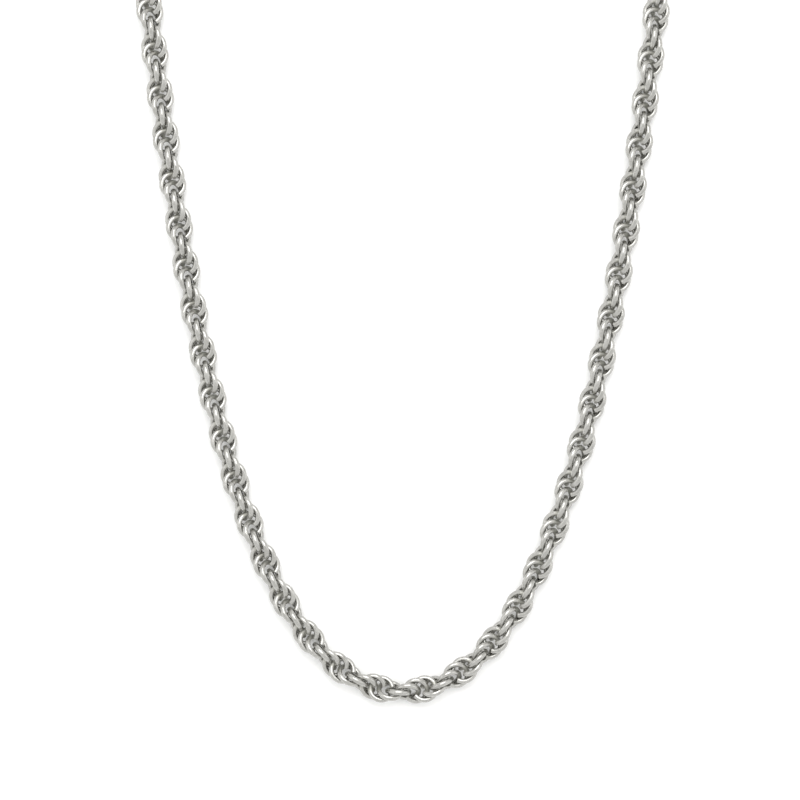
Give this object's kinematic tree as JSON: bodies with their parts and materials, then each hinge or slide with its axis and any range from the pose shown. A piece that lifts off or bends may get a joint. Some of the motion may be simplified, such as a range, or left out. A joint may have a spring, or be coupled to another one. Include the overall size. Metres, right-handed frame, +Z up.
{
  "type": "chain necklace",
  "caption": "Twisted rope chain necklace of round silver wire links, with end caps, jump rings and a lobster clasp, laid out flat in a long U with the clasp undone.",
  "frame": {"origin": "the point of the table under the middle of the necklace's front, where the rope's underside touches it", "axes": "+Z up from the table that the necklace lies on, +Y from the front of the necklace towards its two free ends, +X towards the end with the closing ring"},
  "size_m": [0.0975, 0.2297, 0.004],
  "materials": {
    "rope_silver": "polished sterling silver",
    "cap_silver": "polished sterling silver",
    "clasp_silver": "polished sterling silver",
    "solder": "dull silver solder",
    "spring_steel": "drawn steel wire"
  },
  "bodies": {
    "front": {"rope_front": "rope_silver"},
    "left_01": {"rope_left_01": "rope_silver"},
    "left_02": {"rope_left_02": "rope_silver"},
    "left_03": {"rope_left_03": "rope_silver"},
    "left_04": {"rope_left_04": "rope_silver"},
    "left_05": {"rope_left_05": "rope_silver"},
    "left_06": {"rope_left_06": "rope_silver"},
    "left_07": {"rope_left_07": "rope_silver"},
    "left_08": {"rope_left_08": "rope_silver"},
    "left_09": {"rope_left_09": "rope_silver"},
    "left_10": {"rope_left_10": "rope_silver"},
    "left_11": {"rope_left_11": "rope_silver"},
    "left_12": {"rope_left_12": "rope_silver"},
    "left_13": {"rope_left_13": "rope_silver"},
    "left_14": {"rope_left_14": "rope_silver"},
    "left_15": {"rope_left_15": "rope_silver"},
    "left_16": {"rope_left_16": "rope_silver"},
    "left_17": {"rope_left_17": "rope_silver", "end_cap_left": "cap_silver", "solder_left": "solder"},
    "right_01": {"rope_right_01": "rope_silver"},
    "right_02": {"rope_right_02": "rope_silver"},
    "right_03": {"rope_right_03": "rope_silver"},
    "right_04": {"rope_right_04": "rope_silver"},
    "right_05": {"rope_right_05": "rope_silver"},
    "right_06": {"rope_right_06": "rope_silver"},
    "right_07": {"rope_right_07": "rope_silver"},
    "right_08": {"rope_right_08": "rope_silver"},
    "right_09": {"rope_right_09": "rope_silver"},
    "right_10": {"rope_right_10": "rope_silver"},
    "right_11": {"rope_right_11": "rope_silver"},
    "right_12": {"rope_right_12": "rope_silver"},
    "right_13": {"rope_right_13": "rope_silver"},
    "right_14": {"rope_right_14": "rope_silver"},
    "right_15": {"rope_right_15": "rope_silver"},
    "right_16": {"rope_right_16": "rope_silver"},
    "right_17": {"rope_right_17": "rope_silver", "end_cap_right": "cap_silver", "solder_right": "solder"},
    "clasp_ring": {"clasp_ring": "clasp_silver"},
    "clasp": {"clasp_body": "clasp_silver", "clasp_rivet": "clasp_silver", "clasp_spring": "spring_steel"},
    "lever": {"clasp_lever": "clasp_silver"},
    "closing_ring": {"closing_ring": "clasp_silver"}
  },
  "joints": [
    {"name": "lever_open", "type": "hinge", "parent": "clasp", "child": "lever", "pos_m": [-0.04537, 0.2206, 0.002], "axis": [0, 0, 1], "range_deg": [0, 22], "stiffness_Nm_per_rad": 0.004, "springref_deg": -20.05},
    {"name": "clasp_swing", "type": "hinge", "parent": "clasp_ring", "child": "clasp", "pos_m": [-0.04627, 0.21554, 0.002], "axis": [-0.9983, -0.0583, 0], "range_deg": [-50, 50]},
    {"name": "clasp_ring_turn", "type": "hinge", "parent": "left_17", "child": "clasp_ring", "pos_m": [-0.04616, 0.21369, 0.002], "axis": [0, 0, 1], "range_deg": [-45, 45]},
    {"name": "closing_ring_turn", "type": "hinge", "parent": "right_17", "child": "closing_ring", "pos_m": [0.04616, 0.21369, 0.002], "axis": [0, 0, 1], "range_deg": [-45, 45]},
    {"name": "left_01_bend", "type": "hinge", "parent": "front", "child": "left_01", "pos_m": [-0.00614, 0.00148, 0.002], "axis": [0, 0, 1], "range_deg": [-5, 5]},
    {"name": "left_02_lift", "type": "hinge", "parent": "left_01", "child": "left_02", "pos_m": [-0.01532, 0.01013, 0.002], "axis": [0.827, 0.5622, 0], "range_deg": [-5, 5]},
    {"name": "left_03_bend", "type": "hinge", "parent": "left_02", "child": "left_03", "pos_m": [-0.02118, 0.02142, 0.002], "axis": [0, 0, 1], "range_deg": [-5, 5]},
    {"name": "left_04_lift", "type": "hinge", "parent": "left_03", "child": "left_04", "pos_m": [-0.02531, 0.03348, 0.002], "axis": [0.9601, 0.2797, 0], "range_deg": [-5, 5]},
    {"name": "left_05_bend", "type": "hinge", "parent": "left_04", "child": "left_05", "pos_m": [-0.02848, 0.04583, 0.002], "axis": [0, 0, 1], "range_deg": [-5, 5]},
    {"name": "left_06_lift", "type": "hinge", "parent": "left_05", "child": "left_06", "pos_m": [-0.03103, 0.05832, 0.002], "axis": [0.9832, 0.1823, 0], "range_deg": [-5, 5]},
    {"name": "left_07_bend", "type": "hinge", "parent": "left_06", "child": "left_07", "pos_m": [-0.03317, 0.07089, 0.002], "axis": [0, 0, 1], "range_deg": [-5, 5]},
    {"name": "left_08_lift", "type": "hinge", "parent": "left_07", "child": "left_08", "pos_m": [-0.03501, 0.0835, 0.002], "axis": [0.9909, 0.1347, 0], "range_deg": [-5, 5]},
    {"name": "left_09_bend", "type": "hinge", "parent": "left_08", "child": "left_09", "pos_m": [-0.03663, 0.09615, 0.002], "axis": [0, 0, 1], "range_deg": [-5, 5]},
    {"name": "left_10_lift", "type": "hinge", "parent": "left_09", "child": "left_10", "pos_m": [-0.03806, 0.10882, 0.002], "axis": [0.9943, 0.1067, 0], "range_deg": [-5, 5]},
    {"name": "left_11_bend", "type": "hinge", "parent": "left_10", "child": "left_11", "pos_m": [-0.03936, 0.1215, 0.002], "axis": [0, 0, 1], "range_deg": [-5, 5]},
    {"name": "left_12_lift", "type": "hinge", "parent": "left_11", "child": "left_12", "pos_m": [-0.04053, 0.1342, 0.002], "axis": [0.9961, 0.0883, 0], "range_deg": [-5, 5]},
    {"name": "left_13_bend", "type": "hinge", "parent": "left_12", "child": "left_13", "pos_m": [-0.04161, 0.1469, 0.002], "axis": [0, 0, 1], "range_deg": [-5, 5]},
    {"name": "left_14_lift", "type": "hinge", "parent": "left_13", "child": "left_14", "pos_m": [-0.04261, 0.15962, 0.002], "axis": [0.9972, 0.0753, 0], "range_deg": [-5, 5]},
    {"name": "left_15_bend", "type": "hinge", "parent": "left_14", "child": "left_15", "pos_m": [-0.04354, 0.17233, 0.002], "axis": [0, 0, 1], "range_deg": [-5, 5]},
    {"name": "left_16_lift", "type": "hinge", "parent": "left_15", "child": "left_16", "pos_m": [-0.0444, 0.18505, 0.002], "axis": [0.9978, 0.0656, 0], "range_deg": [-5, 5]},
    {"name": "left_17_bend", "type": "hinge", "parent": "left_16", "child": "left_17", "pos_m": [-0.04521, 0.19778, 0.002], "axis": [0, 0, 1], "range_deg": [-5, 5]},
    {"name": "right_01_bend", "type": "hinge", "parent": "front", "child": "right_01", "pos_m": [0.00614, 0.00148, 0.002], "axis": [0, 0, 1], "range_deg": [-5, 5]},
    {"name": "right_02_lift", "type": "hinge", "parent": "right_01", "child": "right_02", "pos_m": [0.01532, 0.01013, 0.002], "axis": [0.827, -0.5622, 0], "range_deg": [-5, 5]},
    {"name": "right_03_bend", "type": "hinge", "parent": "right_02", "child": "right_03", "pos_m": [0.02118, 0.02142, 0.002], "axis": [0, 0, 1], "range_deg": [-5, 5]},
    {"name": "right_04_lift", "type": "hinge", "parent": "right_03", "child": "right_04", "pos_m": [0.02531, 0.03348, 0.002], "axis": [0.9601, -0.2797, 0], "range_deg": [-5, 5]},
    {"name": "right_05_bend", "type": "hinge", "parent": "right_04", "child": "right_05", "pos_m": [0.02848, 0.04583, 0.002], "axis": [0, 0, 1], "range_deg": [-5, 5]},
    {"name": "right_06_lift", "type": "hinge", "parent": "right_05", "child": "right_06", "pos_m": [0.03103, 0.05832, 0.002], "axis": [0.9832, -0.1823, 0], "range_deg": [-5, 5]},
    {"name": "right_07_bend", "type": "hinge", "parent": "right_06", "child": "right_07", "pos_m": [0.03317, 0.07089, 0.002], "axis": [0, 0, 1], "range_deg": [-5, 5]},
    {"name": "right_08_lift", "type": "hinge", "parent": "right_07", "child": "right_08", "pos_m": [0.03501, 0.0835, 0.002], "axis": [0.9909, -0.1347, 0], "range_deg": [-5, 5]},
    {"name": "right_09_bend", "type": "hinge", "parent": "right_08", "child": "right_09", "pos_m": [0.03663, 0.09615, 0.002], "axis": [0, 0, 1], "range_deg": [-5, 5]},
    {"name": "right_10_lift", "type": "hinge", "parent": "right_09", "child": "right_10", "pos_m": [0.03806, 0.10882, 0.002], "axis": [0.9943, -0.1067, 0], "range_deg": [-5, 5]},
    {"name": "right_11_bend", "type": "hinge", "parent": "right_10", "child": "right_11", "pos_m": [0.03936, 0.1215, 0.002], "axis": [0, 0, 1], "range_deg": [-5, 5]},
    {"name": "right_12_lift", "type": "hinge", "parent": "right_11", "child": "right_12", "pos_m": [0.04053, 0.1342, 0.002], "axis": [0.9961, -0.0883, 0], "range_deg": [-5, 5]},
    {"name": "right_13_bend", "type": "hinge", "parent": "right_12", "child": "right_13", "pos_m": [0.04161, 0.1469, 0.002], "axis": [0, 0, 1], "range_deg": [-5, 5]},
    {"name": "right_14_lift", "type": "hinge", "parent": "right_13", "child": "right_14", "pos_m": [0.04261, 0.15962, 0.002], "axis": [0.9972, -0.0753, 0], "range_deg": [-5, 5]},
    {"name": "right_15_bend", "type": "hinge", "parent": "right_14", "child": "right_15", "pos_m": [0.04354, 0.17233, 0.002], "axis": [0, 0, 1], "range_deg": [-5, 5]},
    {"name": "right_16_lift", "type": "hinge", "parent": "right_15", "child": "right_16", "pos_m": [0.0444, 0.18505, 0.002], "axis": [0.9978, -0.0656, 0], "range_deg": [-5, 5]},
    {"name": "right_17_bend", "type": "hinge", "parent": "right_16", "child": "right_17", "pos_m": [0.04521, 0.19778, 0.002], "axis": [0, 0, 1], "range_deg": [-5, 5]}
  ]
}
